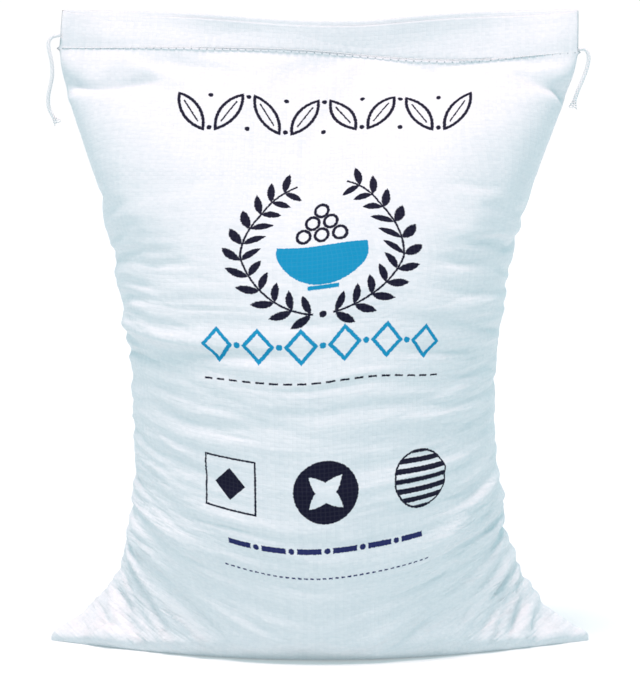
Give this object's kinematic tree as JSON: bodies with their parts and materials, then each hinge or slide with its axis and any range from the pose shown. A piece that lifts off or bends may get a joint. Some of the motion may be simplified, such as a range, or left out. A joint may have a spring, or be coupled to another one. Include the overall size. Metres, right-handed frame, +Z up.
{
  "type": "bag of lentils",
  "caption": "Filled woven plastic sack of dry lentils, standing upright on its flattened base and sewn shut across the top, with loose thread ends at the seam.",
  "frame": {"origin": "middle of the flattened base, on the surface the sack stands on", "axes": "+Z up, +X to the right as the printed face is seen, the printed face towards -Y"},
  "size_m": [0.3691, 0.2196, 0.4269],
  "materials": {
    "woven_cloth": "white woven flat tapes with a slight sheen",
    "sewing_thread": "matt white spun thread"
  },
  "bodies": {
    "root": {"sack": "woven_cloth", "seam_thread_front": "sewing_thread", "seam_thread_back": "sewing_thread", "thread_tail_left": "sewing_thread", "thread_tail_right": "sewing_thread"}
  },
  "joints": []
}
